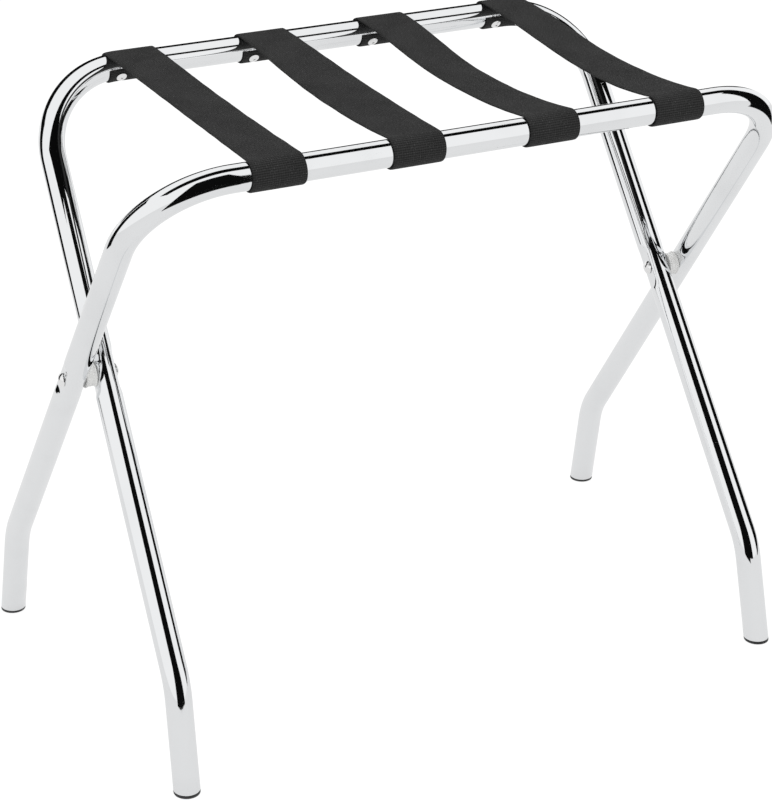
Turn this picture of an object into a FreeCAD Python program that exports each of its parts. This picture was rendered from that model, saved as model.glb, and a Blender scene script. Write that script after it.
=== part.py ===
import FreeCAD, Part

# Folding luggage rack: two U-shaped chromed tubes cross like scissors on a pair of
# pivot rivets, and four webbing straps join the two top rails and stop them opening.
#
# Frame: +X along the rails, +Y from the outer frame's rail to the inner frame's
# rail, +Z up. The origin is on the floor below the middle of the pivot axis.

import math
import os

from FreeCAD import Placement, Rotation, Vector

# Driving dimensions in millimetres, or degrees where the name says so.
DIMENSIONS = {
    "tube_diameter": 22.2,
    "tube_wall": 1.2,
    "rail_height": 510.0,
    "rail_half_depth": 155.0,
    "foot_bend_height": 89.0,
    "foot_bend_half_depth": 158.0,
    "foot_half_depth": 178.0,
    "outer_top_half_width": 288.0,
    "outer_floor_half_width": 305.0,
    "inner_top_half_width": 261.0,
    "inner_floor_half_width": 278.0,
    "corner_radius": 76.2,
    "foot_bend_radius": 70.0,
    "flat_half_thickness": 8.9,
    "flat_length": 24.0,
    "flat_ramp_length": 9.0,
    "pivot_shank_diameter": 6.4,
    "pivot_head_diameter": 12.0,
    "pivot_head_height": 3.6,
    "pivot_clearance": 0.05,
    "face_clearance": 0.1,
    "spacer_diameter": 21.0,
    "plug_flange_thickness": 2.2,
    "plug_stem_length": 16.0,
    "strap_width": 45.0,
    "strap_thickness": 1.8,
    "strap_clearance": 0.4,
    "bend_clearance": 0.5,
    "bend_room_degrees": 40.0,
    "strap_wrap_degrees": 270.0,
    "first_strap_sag": 1.5,
    "second_strap_sag": 4.0,
    "third_strap_sag": 10.5,
    "fourth_strap_sag": 9.0,
    "first_strap_front": -179.7,
    "first_strap_rear": -175.2,
    "second_strap_front": -61.6,
    "second_strap_rear": -52.2,
    "third_strap_front": 58.0,
    "third_strap_rear": 63.2,
    "fourth_strap_front": 174.7,
    "fourth_strap_rear": 188.3,
    "rivet_place_degrees": 236.0,
    "rivet_spacing": 24.0,
    "rivet_head_diameter": 9.0,
    "rivet_head_height": 2.2,
    "rivet_shank_diameter": 4.0,
    "rivet_tail_diameter": 5.4,
    "rivet_tail_length": 3.0,
    "rivet_hole_clearance": 0.4,
    "rivet_head_gap": 0.4,
    "rivet_tail_gap": 0.6,
}
STRAP_NAMES = ["first_strap", "second_strap", "third_strap", "fourth_strap"]

# How far a cutting tool runs past the material that it cuts.
OVERRUN = 10.0

doc = FreeCAD.newDocument("FoldingLuggageRack")
sheet = doc.addObject("Spreadsheet::Sheet", "Dimensions")
for row, (alias, value) in enumerate(DIMENSIONS.items(), start=1):
    sheet.set(f"A{row}", alias)
    sheet.set(f"B{row}", str(value))
    sheet.setAlias(f"B{row}", alias)
doc.recompute()


def size(alias):
    """Read one driving dimension from the sheet."""
    return float(sheet.get(alias))


def bind(feature, **formulas):
    """Tie a feature's sizes to formulas, in which a bare alias is a sheet cell."""
    for name, formula in formulas.items():
        for alias in DIMENSIONS:
            formula = formula.replace(f"[{alias}]", f"Dimensions.{alias}")
        feature.setExpression(name, formula)
    return feature


def combine(kind, name, parts):
    """Fuse, intersect or group several objects: kind is a Part boolean's name."""
    result = doc.addObject(kind, name)
    if kind == "Part::Compound":
        result.Links = parts
    else:
        result.Shapes = parts
    return result


def cut(name, base, tool):
    """Take one object away from another."""
    result = doc.addObject("Part::Cut", name)
    result.Base = base
    result.Tool = tool
    return result


def half_width(frame, height):
    """Distance of a leg's centre line from the middle plane at a height.

    The legs splay: each frame is a little wider at the floor than at its rail.
    """
    top = size(f"{frame}_top_half_width")
    floor = size(f"{frame}_floor_half_width")
    return floor + (top - floor) * height / size("rail_height")


tube_radius = size("tube_diameter") / 2
bore_radius = tube_radius - size("tube_wall")
leg_run = size("rail_half_depth") + size("foot_bend_half_depth")
leg_rise = size("rail_height") - size("foot_bend_height")
pivot_height = size("rail_height") - size("rail_half_depth") * leg_rise / leg_run
leg_lean = math.degrees(math.atan2(leg_run, leg_rise))

# The rail of the outer frame is on the -Y side and its feet are on the +Y side;
# the inner frame is the other way round.
RAIL_SIDE = {"outer": -1, "inner": 1}
STRAP_END = {"outer": "front", "inner": "rear"}
SIDES = {"left": -1, "right": 1}


# ---------------------------------------------------------------- bent tubes


def bend_points(before, corner, after, radius):
    """Start, middle, end and centre of the tangent arc that rounds a corner."""
    back = (before - corner).normalize()
    ahead = (after - corner).normalize()
    half_angle = back.getAngle(ahead) / 2
    reach = radius / math.tan(half_angle)
    bisector = (back + ahead).normalize()
    centre = corner + bisector * (radius / math.sin(half_angle))
    return corner + back * reach, centre - bisector * radius, corner + ahead * reach, centre


def rounded_path(corners, radii):
    """Wire of straight runs through the corner points, joined by tangent arcs."""
    edges = []
    start = corners[0]
    for before, corner, after, radius in zip(corners, corners[1:], corners[2:], radii):
        arc_start, arc_middle, arc_end, _ = bend_points(before, corner, after, radius)
        edges.append(Part.LineSegment(start, arc_start).toShape())
        edges.append(Part.Arc(arc_start, arc_middle, arc_end).toShape())
        start = arc_end
    edges.append(Part.LineSegment(start, corners[-1]).toShape())
    return Part.Wire(edges)


def frame_corners(frame):
    """Corner points of a frame's centre line, from left foot to right foot.

    The feet run on below the floor, so that they can be cut level with it.
    """
    rail_side = RAIL_SIDE[frame]
    bend = size("foot_bend_height")
    foot_run = size("foot_half_depth") - size("foot_bend_half_depth")
    below = -OVERRUN
    foot_depth = size("foot_half_depth") + foot_run * OVERRUN / bend
    half = [
        Vector(half_width(frame, below), -rail_side * foot_depth, below),
        Vector(half_width(frame, bend), -rail_side * size("foot_bend_half_depth"), bend),
        Vector(
            half_width(frame, size("rail_height")),
            rail_side * size("rail_half_depth"),
            size("rail_height"),
        ),
    ]
    left = [Vector(-point.x, point.y, point.z) for point in half]
    return left + half[::-1]


def make_spine(frame):
    """Centre line of a frame's tube."""
    radii = [
        size("foot_bend_radius"),
        size("corner_radius"),
        size("corner_radius"),
        size("foot_bend_radius"),
    ]
    spine = doc.addObject("Part::Feature", f"{frame}_spine")
    spine.Shape = rounded_path(frame_corners(frame), radii)
    return spine


def sweep_tube(name, spine, radius_formula):
    """Solid round bar along a spine, its radius bound to the sheet."""
    section = doc.addObject("Part::Circle", f"{name}_section")
    bind(section, Radius=radius_formula)
    first = spine.Shape.Edges[0]
    direction = first.tangentAt(first.FirstParameter)
    start = first.valueAt(first.FirstParameter)
    section.Placement = Placement(start, Rotation(Vector(0, 0, 1), direction))
    bar = doc.addObject("Part::Sweep", name)
    bar.Sections = [section]
    edge_names = [f"Edge{index + 1}" for index in range(len(spine.Shape.Edges))]
    bar.Spine = (spine, edge_names)
    bar.Solid = True
    bar.Frenet = False
    return bar


def dimple_tool(name, frame, side, face, inset):
    """Wedge that presses one flat into a leg at the pivot, with a ramp at each end.

    face is +1 for the flat that looks away from the middle plane and -1 for the
    one that looks towards it. The tube's bore has its flats an inset further in.
    """
    tool = doc.addObject("Part::Wedge", name)
    depth = OVERRUN / 2
    ramp = "[flat_ramp_length] / ([tube_diameter] / 2 - [flat_half_thickness])"
    base = f"[flat_length] / 2 + {ramp} * {depth}"
    bind(
        tool,
        Xmin=f"-({base})",
        Xmax=base,
        X2min="-[flat_length] / 2",
        X2max="[flat_length] / 2",
        Ymin="0",
        Ymax=str(depth),
        Zmin="-[tube_diameter]",
        Zmax="[tube_diameter]",
        Z2min="-[tube_diameter]",
        Z2max="[tube_diameter]",
    )
    # The wedge's own +Y is its pressing direction and its own +X the leg's.
    lean = -RAIL_SIDE[frame] * leg_lean
    along = Rotation(Vector(1, 0, 0), lean).multVec(Vector(0, 0, -1))
    outward = side * face
    pressing = Vector(-outward, 0, 0)
    rotation = Rotation(along, pressing, Vector(), "XYZ")
    flat = half_width(frame, pivot_height) + face * (size("flat_half_thickness") - inset)
    start = Vector(side * flat + outward * depth, 0, pivot_height)
    tool.Placement = Placement(start, rotation)
    return tool


def dimple_tools(prefix, frame, inset):
    """The four flats of one frame: both faces of both legs."""
    tools = []
    for side_name, side in SIDES.items():
        for face_name, face in (("away", 1), ("inward", -1)):
            name = f"{prefix}_{side_name}_{face_name}"
            tools.append(dimple_tool(name, frame, side, face, inset))
    return combine("Part::MultiFuse", prefix, tools)


def cross_bore(name, height, diameter_formula):
    """Drill along X through both legs of both frames."""
    drill = doc.addObject("Part::Cylinder", name)
    reach = size("outer_floor_half_width") + 2 * OVERRUN
    drill.Height = 2 * reach
    bind(drill, Radius=f"({diameter_formula}) / 2")
    drill.Placement = Placement(Vector(-reach, 0, height), Rotation(Vector(0, 1, 0), 90))
    return drill


# ------------------------------------------------------- strap rivets' places


def around_rail(frame, x, radius, degrees):
    """Point near a rail: degrees run from its crest over its outer side and under."""
    rail_side = RAIL_SIDE[frame]
    turn = math.radians(degrees)
    return Vector(
        x,
        rail_side * (size("rail_half_depth") + radius * math.sin(turn)),
        size("rail_height") + radius * math.cos(turn),
    )


def strap_x(index, frame):
    """X of a strap's middle at a frame's rail: its rear end lies further right."""
    return size(f"{STRAP_NAMES[index]}_{STRAP_END[frame]}")


def rivet_placement(frame, x, radius):
    """Placement at a radius from the rail's axis, with +Z pointing outwards."""
    degrees = size("rivet_place_degrees")
    outward = around_rail(frame, 0, 1, degrees) - around_rail(frame, 0, 0, degrees)
    turned = Rotation(Vector(0, 0, 1), outward)
    return Placement(around_rail(frame, x, radius, degrees), turned)


def rivet_xs(index, frame):
    """X of the two rivets that hold one end of a strap."""
    half = size("rivet_spacing") / 2
    middle = strap_x(index, frame)
    return [middle - half, middle + half]


def rivet_drill(name, frame, x, diameter_formula):
    """Drill for one strap rivet, from inside the tube outwards."""
    drill = doc.addObject("Part::Cylinder", name)
    bind(drill, Radius=f"({diameter_formula}) / 2")
    bind(drill, Height="[tube_diameter] / 2 + [strap_thickness]")
    drill.Placement = rivet_placement(frame, x, bore_radius / 2)
    return drill


# ----------------------------------------------------------- the two frames


def block(name, middle, spans, low, high):
    """Upright box about a middle point, between two heights."""
    box = doc.addObject("Part::Box", name)
    box.Length, box.Width = spans
    box.Height = high - low
    box.Placement.Base = Vector(middle.x - spans[0] / 2, middle.y - spans[1] / 2, low)
    return box


def floor_span():
    """Length and width of a block that covers all four feet, with room to spare."""
    spare = 2 * size("tube_diameter")
    return 2 * (size("outer_floor_half_width") + spare), 2 * (size("foot_half_depth") + spare)


def make_frame(frame, spine, bore_formula):
    """Hollow bent tube of one frame, with its flats and its rivet holes."""
    skin = sweep_tube(f"{frame}_skin", spine, "[tube_diameter] / 2")
    bore = sweep_tube(f"{frame}_bore", spine, "[tube_diameter] / 2 - [tube_wall]")
    flats = dimple_tools(f"{frame}_flat", frame, 0.0)
    pressed_skin = cut(f"{frame}_pressed_skin", skin, flats)
    lining = dimple_tools(f"{frame}_lining", frame, size("tube_wall"))
    pressed_bore = cut(f"{frame}_pressed_bore", bore, lining)
    hollow = cut(f"{frame}_hollow", pressed_skin, pressed_bore)

    tools = [cross_bore(f"{frame}_pivot_hole", pivot_height, bore_formula)]
    for index in range(len(STRAP_NAMES)):
        for order, x in enumerate(rivet_xs(index, frame), start=1):
            name = f"{frame}_rivet_hole_{index + 1}_{order}"
            tools.append(rivet_drill(name, frame, x, "[rivet_shank_diameter]"))
    flange = size("plug_flange_thickness")
    tools.append(block(f"{frame}_foot_trim", Vector(), floor_span(), -2 * OVERRUN, flange))
    drilling = combine("Part::MultiFuse", f"{frame}_drilling", tools)
    return cut(f"{frame}_frame_tube", hollow, drilling), skin, bore


def make_foot_plug(name, frame, side, skin, bore):
    """Plug in a tube's cut end: a level flange under a stem that fills the bore."""
    flange = size("plug_flange_thickness")
    stem_top = flange + size("plug_stem_length")
    foot = Vector(side * half_width(frame, 0), -RAIL_SIDE[frame] * size("foot_half_depth"), 0)
    reach = 3 * size("tube_diameter")
    spans = (reach, reach)
    under = block(f"{name}_flange_slab", foot, spans, 0, flange)
    inside = block(f"{name}_stem_slab", foot, spans, flange / 2, stem_top)
    disc = combine("Part::MultiCommon", f"{name}_flange", [skin, under])
    stem = combine("Part::MultiCommon", f"{name}_stem", [bore, inside])
    plug = combine("Part::MultiFuse", name, [disc, stem])
    plug.Label = name
    return plug


# ------------------------------------------------------------------- pivots


def make_spacer(name, side):
    """Round spacer between the facing flats of a pair of legs."""
    outer_flat = half_width("outer", pivot_height) - size("flat_half_thickness")
    inner_flat = half_width("inner", pivot_height) + size("flat_half_thickness")
    body = doc.addObject("Part::Cylinder", f"{name}_disc")
    hole = doc.addObject("Part::Cylinder", f"{name}_hole")
    bind(body, Radius="[spacer_diameter] / 2")
    bind(hole, Radius="[pivot_shank_diameter] / 2")
    body.Height = outer_flat - inner_flat - size("face_clearance")
    hole.Height = body.Height
    for cylinder in (body, hole):
        start = Vector(side * outer_flat, 0, pivot_height)
        cylinder.Placement = Placement(start, Rotation(Vector(0, 0, 1), Vector(-side, 0, 0)))
    spacer = cut(name, body, hole)
    spacer.Label = name
    return spacer


def dome(sketch, base, tip, radius, tip_sign):
    """Add a shallow dome's arc to a sketch whose X axis is the turning axis."""
    height = abs(tip - base)
    sphere_radius = (radius**2 + height**2) / (2 * height)
    centre = tip - tip_sign * sphere_radius
    half_turn = math.asin(radius / sphere_radius) / 2
    middle = Vector(
        centre + tip_sign * sphere_radius * math.cos(half_turn),
        sphere_radius * math.sin(half_turn),
        0,
    )
    sketch.addGeometry(Part.Arc(Vector(base, radius, 0), middle, Vector(tip, 0, 0)), False)


def origin_part(body, role):
    """One of a body's own origin planes or axes."""
    return next(item for item in body.Origin.OriginFeatures if item.Role == role)


def new_sketch(body, plane):
    """Sketch on one of a body's origin planes."""
    sketch = body.newObject("Sketcher::SketchObject", f"{body.Name}_sketch")
    sketch.AttachmentSupport = [(origin_part(body, plane), "")]
    sketch.MapMode = "FlatFace"
    return sketch


def make_pivot_rivet(name, side):
    """Rivet through both legs, with a dome outside the outer leg and inside the inner.

    It is turned from a half profile and belongs to the outer frame.
    """
    body = doc.addObject("PartDesign::Body", name)
    sketch = new_sketch(body, "XY_Plane")
    near = half_width("inner", pivot_height) - size("flat_half_thickness")
    near -= size("face_clearance")
    far = half_width("outer", pivot_height) + size("flat_half_thickness")
    shank = size("pivot_shank_diameter") / 2
    head = size("pivot_head_diameter") / 2
    height = size("pivot_head_height")
    dome(sketch, near, near - height, head, -1)
    dome(sketch, far, far + height, head, 1)
    outline = [
        Vector(near - height, 0, 0),
        Vector(far + height, 0, 0),
    ]
    sketch.addGeometry(Part.LineSegment(*outline), False)
    steps = [
        Vector(near, head, 0),
        Vector(near, shank, 0),
        Vector(far, shank, 0),
        Vector(far, head, 0),
    ]
    for start, end in zip(steps, steps[1:]):
        sketch.addGeometry(Part.LineSegment(start, end), False)
    turned = body.newObject("PartDesign::Revolution", f"{name}_turned")
    turned.Profile = sketch
    turned.ReferenceAxis = (sketch, ["H_Axis"])
    turned.Angle = 360.0
    facing = Rotation(Vector(0, 0, 1), 0 if side > 0 else 180)
    body.Placement = Placement(Vector(0, 0, pivot_height), facing)
    body.Label = name
    return body


# ------------------------------------------------------------------- straps


def make_bend_room(name, side):
    """Room round the start of a bend of the inner rail, for the strap that reaches it."""
    corners = frame_corners("inner")
    middle = len(corners) // 2
    rail_end, corner, leg_end = corners[middle], corners[middle - 1], corners[middle - 2]
    if side > 0:
        rail_end, corner, leg_end = corners[middle - 1], corners[middle], corners[middle + 1]
    start, _, _, centre = bend_points(rail_end, corner, leg_end, size("corner_radius"))
    outward = start - centre
    axis = outward.cross(Vector(side, 0, 0))
    room = doc.addObject("Part::Torus", name)
    bind(room, Radius1="[corner_radius]", Radius2="[tube_diameter] / 2 + [bend_clearance]")
    bind(room, Angle3="[bend_room_degrees]")
    room.Placement = Placement(centre, Rotation(outward, Vector(), axis, "ZXY"))
    return room


def strap_outline(sag):
    """Edges of a strap's side view: y and z are the sketch's own x and y.

    The strap lies over both rails, hangs by its sag between them, and goes round
    the outer side of each rail and under it. It touches the outer frame's tube and
    clears the inner frame's.
    """
    thickness = size("strap_thickness")
    wrap_end = size("strap_wrap_degrees")
    span = 2 * size("rail_half_depth")
    leaving = math.degrees(2 * math.atan(2 * sag / span))
    inner_radii = {"outer": tube_radius, "inner": tube_radius + size("strap_clearance")}

    def flat(point):
        return Vector(point.y, point.z, 0)

    def ring_arc(frame, radius):
        turns = (wrap_end, (wrap_end - leaving) / 2, -leaving)
        return [flat(around_rail(frame, 0, radius, turn)) for turn in turns]

    edges = []
    arcs = {}
    for frame, inside in inner_radii.items():
        arcs[frame, "under"] = ring_arc(frame, inside)
        arcs[frame, "over"] = ring_arc(frame, inside + thickness)
        edges.append(Part.Arc(*arcs[frame, "under"]))
        edges.append(Part.Arc(*arcs[frame, "over"]))
        ends = arcs[frame, "under"][0], arcs[frame, "over"][0]
        edges.append(Part.LineSegment(*ends))
    top = size("rail_height") + tube_radius + thickness - sag
    for layer, lowest in (("over", top), ("under", top - thickness)):
        start = arcs["outer", layer][-1]
        end = arcs["inner", layer][-1]
        edges.append(Part.Arc(start, Vector(0, lowest, 0), end))
    return edges


def make_strap(index):
    """One webbing strap: its side view padded to the strap's width.

    It stands midway between its two ends' places. An outer strap also reaches over
    the inner rail's bend, and is cut clear of it.
    """
    name = f"strap_{index + 1}"
    middle = (strap_x(index, "outer") + strap_x(index, "inner")) / 2
    body = doc.addObject("PartDesign::Body", f"{name}_webbing")
    sketch = new_sketch(body, "YZ_Plane")
    for edge in strap_outline(size(f"{STRAP_NAMES[index]}_sag")):
        sketch.addGeometry(edge, False)
    pad = body.newObject("PartDesign::Pad", f"{name}_pad")
    pad.Profile = sketch
    pad.Midplane = True
    bind(pad, Length="[strap_width]")
    body.Placement.Base = Vector(middle, 0, 0)
    trimmed = body
    if index in (0, len(STRAP_NAMES) - 1):
        room = make_bend_room(f"{name}_bend_room", math.copysign(1, middle))
        trimmed = cut(f"{name}_trimmed", body, room)
    drills = []
    for frame in RAIL_SIDE:
        for order, x in enumerate(rivet_xs(index, frame), start=1):
            formula = "[rivet_shank_diameter] + 2 * [rivet_hole_clearance]"
            drills.append(rivet_drill(f"{name}_{frame}_hole_{order}", frame, x, formula))
    tools = combine("Part::MultiFuse", f"{name}_tools", drills)
    strap = cut(name, trimmed, tools)
    strap.Label = name
    return strap


def make_strap_rivet(name, frame, x):
    """Blind rivet: a dome over the strap, a shank through it and a tail in the tube."""
    strap_face = tube_radius + size("strap_clearance") + size("strap_thickness")
    seat = strap_face + size("rivet_head_gap")
    tail_top = bore_radius - size("rivet_tail_gap")
    tail_bottom = tail_top - size("rivet_tail_length")
    place = rivet_placement(frame, x, 0)

    def stage(kind, part_name, offset):
        feature = doc.addObject(kind, f"{name}_{part_name}")
        feature.Placement = place.multiply(Placement(Vector(0, 0, offset), Rotation()))
        return feature

    tail = stage("Part::Cylinder", "tail", tail_bottom)
    bind(tail, Radius="[rivet_tail_diameter] / 2", Height="[rivet_tail_length]")
    shank = stage("Part::Cylinder", "shank", tail_bottom)
    bind(shank, Radius="[rivet_shank_diameter] / 2")
    shank.Height = seat - tail_bottom
    rim = "[rivet_head_diameter] / 2"
    rise = "[rivet_head_height]"
    ball = f"(({rim}) * ({rim}) + {rise} * {rise}) / (2 * {rise})"
    head_radius = size("rivet_head_diameter") / 2
    head_rise = size("rivet_head_height")
    ball_radius = (head_radius**2 + head_rise**2) / (2 * head_rise)
    head = stage("Part::Sphere", "head", seat + head_rise - ball_radius)
    bind(head, Radius=ball, Angle1=f"asin(1 - {rise} / ({ball}))")
    head.Angle2 = 90.0
    return combine("Part::MultiFuse", name, [tail, shank, head])


def make_rivet_pair(name, frame, index):
    """The two alike rivets at one end of a strap, as one group of separate solids."""
    rivets = []
    for order, x in enumerate(rivet_xs(index, frame), start=1):
        rivets.append(make_strap_rivet(f"{name}_{order}", frame, x))
    pair = combine("Part::Compound", name, rivets)
    pair.Label = name
    return pair


# ----------------------------------------------------------------- assembly

bore_formulas = {
    "outer": "[pivot_shank_diameter]",
    "inner": "[pivot_shank_diameter] + 2 * [pivot_clearance]",
}
nodes = []
for frame, bore_formula in bore_formulas.items():
    tube, skin, bore = make_frame(frame, make_spine(frame), bore_formula)
    tube.Label = f"{frame}_frame_tube"
    nodes.append(tube)
    for side_name, side in SIDES.items():
        nodes.append(make_foot_plug(f"{frame}_foot_plug_{side_name}", frame, side, skin, bore))

for side_name, side in SIDES.items():
    nodes.append(make_spacer(f"pivot_spacer_{side_name}", side))
    nodes.append(make_pivot_rivet(f"pivot_rivet_{side_name}", side))

for index in range(len(STRAP_NAMES)):
    nodes.append(make_strap(index))
    for frame, end in STRAP_END.items():
        nodes.append(make_rivet_pair(f"strap_{index + 1}_{end}_rivets", frame, index))

doc.recompute()

for item in doc.Objects:
    if "Invalid" in item.State or "Error" in item.State:
        raise RuntimeError(f"{item.Name} did not recompute: {item.State}")
for node in nodes:
    if node.Shape.isNull() or not node.Shape.isValid():
        raise RuntimeError(f"{node.Label} has no valid shape")

os.makedirs("parts", exist_ok=True)
for node in nodes:
    node.Shape.exportStep(f"parts/{node.Label}.step")
    box = node.Shape.BoundBox
    print(
        f"{node.Label}: {len(node.Shape.Solids)} solid(s), {node.Shape.Volume:.0f} mm3,"
        f" x {box.XMin:.1f}..{box.XMax:.1f}, y {box.YMin:.1f}..{box.YMax:.1f},"
        f" z {box.ZMin:.1f}..{box.ZMax:.1f}"
    )
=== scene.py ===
"""Looks of the folding luggage rack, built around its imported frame.

Two chromed tubes, bent to a U, cross on a pair of pivot rivets. Four woven
straps join their rails. Everything is in metres, in the frame's own axes.
"""

import logging
import math
import random
from dataclasses import dataclass
from enum import Enum

import bmesh
import bpy
from mathutils import Matrix, Vector, noise

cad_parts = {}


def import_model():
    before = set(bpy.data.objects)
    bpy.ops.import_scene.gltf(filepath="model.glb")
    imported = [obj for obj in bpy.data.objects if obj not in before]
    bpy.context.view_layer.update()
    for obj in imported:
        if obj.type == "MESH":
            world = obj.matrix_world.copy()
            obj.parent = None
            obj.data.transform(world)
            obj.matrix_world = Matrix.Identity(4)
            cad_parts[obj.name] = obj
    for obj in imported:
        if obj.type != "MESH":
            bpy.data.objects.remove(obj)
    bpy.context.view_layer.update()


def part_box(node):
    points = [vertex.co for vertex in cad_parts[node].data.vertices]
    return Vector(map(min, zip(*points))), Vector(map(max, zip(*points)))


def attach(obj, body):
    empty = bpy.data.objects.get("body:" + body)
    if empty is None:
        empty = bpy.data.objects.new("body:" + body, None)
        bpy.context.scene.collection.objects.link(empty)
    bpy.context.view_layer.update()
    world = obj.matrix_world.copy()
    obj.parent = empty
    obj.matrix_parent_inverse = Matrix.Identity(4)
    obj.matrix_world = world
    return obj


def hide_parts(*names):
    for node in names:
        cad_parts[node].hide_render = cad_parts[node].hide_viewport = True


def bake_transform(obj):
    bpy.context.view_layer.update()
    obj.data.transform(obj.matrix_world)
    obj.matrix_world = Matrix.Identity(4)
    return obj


LOG = logging.getLogger("luggage_rack")
MM = 0.001
MERGE_DISTANCE = 1e-6
FLAT_MAP = "flat"


class Side(Enum):
    """Left or right half of the rack: the value is the sign of X."""

    LEFT = -1
    RIGHT = 1

    @property
    def word(self) -> str:
        """The side's name, as nodes are named."""
        return self.name.lower()


class Loop(Enum):
    """One of the two U-shaped tubes: the value is its node prefix."""

    OUTER = "outer"
    INNER = "inner"

    @property
    def body(self) -> str:
        """The moving body that the tube belongs to."""
        return f"{self.value}_frame"

    @property
    def rail_side(self) -> int:
        """Sign of Y at the tube's rail: the outer rail is in front."""
        return -1 if self is Loop.OUTER else 1

    @property
    def strap_end(self) -> str:
        """Which end of a strap is fixed to this tube's rail."""
        return "front" if self is Loop.OUTER else "rear"


@dataclass(frozen=True)
class RackSizes:
    """Driving sizes of the rack, with the places that the frame gives."""

    rail_height: float
    rail_half_depth: float
    pivot_height: float
    tube_radius: float = 11.1 * MM
    corner_radius: float = 76.2 * MM
    foot_bend_radius: float = 70 * MM
    foot_bend_height: float = 89 * MM
    foot_bend_half_depth: float = 158 * MM
    foot_half_depth: float = 178 * MM
    outer_top_half_width: float = 288 * MM
    outer_floor_half_width: float = 305 * MM
    inner_top_half_width: float = 261 * MM
    inner_floor_half_width: float = 278 * MM
    flat_half_thickness: float = 8.9 * MM
    plug_flange: float = 2.2 * MM

    @classmethod
    def from_frame(cls) -> "RackSizes":
        """Read the rail's and the pivot's places from the frame.

        Returns:
            The sizes of the whole rack.
        """
        low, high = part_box("outer_frame_tube")
        rivet_low, rivet_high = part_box("pivot_rivet_left")
        return cls(
            rail_height=high.z - cls.tube_radius,
            rail_half_depth=-low.y - cls.tube_radius,
            pivot_height=(rivet_low.z + rivet_high.z) / 2,
        )

    @property
    def leg_slope(self) -> float:
        """Depth that a straight leg covers per unit of height."""
        return self.rail_half_depth / (self.rail_height - self.pivot_height)

    def half_width(self, loop: Loop, height: float) -> float:
        """Distance of a leg's centre line from the middle plane.

        Args:
            loop: The tube that the leg is part of.
            height: Height above the floor.

        Returns:
            The half width, a little more at the floor than at the rail.
        """
        top, floor = self.inner_top_half_width, self.inner_floor_half_width
        if loop is Loop.OUTER:
            top, floor = self.outer_top_half_width, self.outer_floor_half_width
        return floor + (top - floor) * height / self.rail_height

    def rail_centre(self, loop: Loop, x: float) -> Vector:
        """Centre line of a rail, which drops away in its corner bends.

        Args:
            loop: The tube that the rail is part of.
            x: Place along the rail.

        Returns:
            The point of the centre line at that X.
        """
        centre = Vector((x, loop.rail_side * self.rail_half_depth, self.rail_height))
        splay = (self.outer_floor_half_width - self.outer_top_half_width) / self.rail_height
        turn = math.pi / 2 - splay
        straight = self.half_width(loop, self.rail_height)
        straight -= self.corner_radius * math.tan(turn / 2)
        over = max(0.0, abs(x) - straight)
        drop = self.corner_radius - math.sqrt(self.corner_radius**2 - over**2)
        down = Vector((0, -loop.rail_side * self.leg_slope, -1)).normalized()
        return centre + down * drop


# ------------------------------------------------------------ mesh helpers


def finish_mesh(
    name: str, mesh: bmesh.types.BMesh, material: bpy.types.Material, sharp_degrees: float = 40
) -> bpy.types.Object:
    """Turn a bmesh into a dressed object at the origin.

    Args:
        name: Name of the piece.
        mesh: The finished bmesh, which is freed.
        material: The piece's only material.
        sharp_degrees: Edges that turn by more than this stay sharp.

    Returns:
        The new object, linked to the scene.
    """
    data = bpy.data.meshes.new(name)
    mesh.to_mesh(data)
    mesh.free()
    data.shade_smooth()
    data.set_sharp_from_angle(angle=math.radians(sharp_degrees))
    data.materials.append(material)
    piece = bpy.data.objects.new(name, data)
    bpy.context.scene.collection.objects.link(piece)
    return piece


def middle_x(node: str) -> float:
    """Middle of a CAD node's box along X."""
    low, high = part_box(node)
    return (low.x + high.x) / 2


def facing(point: Vector, direction: Vector) -> Matrix:
    """Placement at a point with +Z along a direction."""
    turned = direction.to_track_quat("Z", "Y").to_matrix().to_4x4()
    return Matrix.Translation(point) @ turned


def spin_profile(
    mesh: bmesh.types.BMesh,
    profile: list[tuple[float, float]],
    place: Matrix,
    steps: int = 40,
) -> None:
    """Turn a half profile about its own Z axis and add it to a mesh.

    Args:
        mesh: The mesh to add to.
        profile: Radius and height of each point, from axis to axis.
        place: Where the turned piece goes, with its axis along +Z.
        steps: Number of faces round the axis.
    """
    before = set(mesh.verts)
    points = [mesh.verts.new((radius, 0, height)) for radius, height in profile]
    edges = [mesh.edges.new(pair) for pair in zip(points, points[1:])]
    bmesh.ops.spin(
        mesh,
        geom=points + edges,
        cent=(0, 0, 0),
        axis=(0, 0, 1),
        angle=2 * math.pi,
        steps=steps,
        use_merge=True,
        use_duplicate=False,
    )
    spun = [vert for vert in mesh.verts if vert not in before]
    bmesh.ops.remove_doubles(mesh, verts=spun, dist=MERGE_DISTANCE)
    fresh = [vert for vert in mesh.verts if vert not in before]
    faces = list({face for vert in fresh for face in vert.link_faces})
    bmesh.ops.recalc_face_normals(mesh, faces=faces)
    bmesh.ops.transform(mesh, matrix=place, verts=fresh)


def dome_profile(
    radius: float, height: float, rim: float, steps: int = 10
) -> list[tuple[float, float]]:
    """Half profile of a rivet head: a low rim under a shallow dome.

    Args:
        radius: Radius of the head.
        height: Height of the head over its seat.
        rim: Height of the upright rim.
        steps: Number of faces up the dome.

    Returns:
        Points from the middle of the seat to the top of the dome.
    """
    rise = height - rim
    ball = (radius**2 + rise**2) / (2 * rise)
    widest = math.asin(min(1.0, radius / ball))
    soft = rim * 0.35
    points = [(0.0, 0.0), (radius - soft, 0.0), (radius, soft), (radius, rim)]
    for index in range(1, steps):
        turn = widest * (1 - index / steps)
        points.append((ball * math.sin(turn), height - ball * (1 - math.cos(turn))))
    points.append((0.0, height))
    return points


# ------------------------------------------------------------ shader tools


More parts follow.
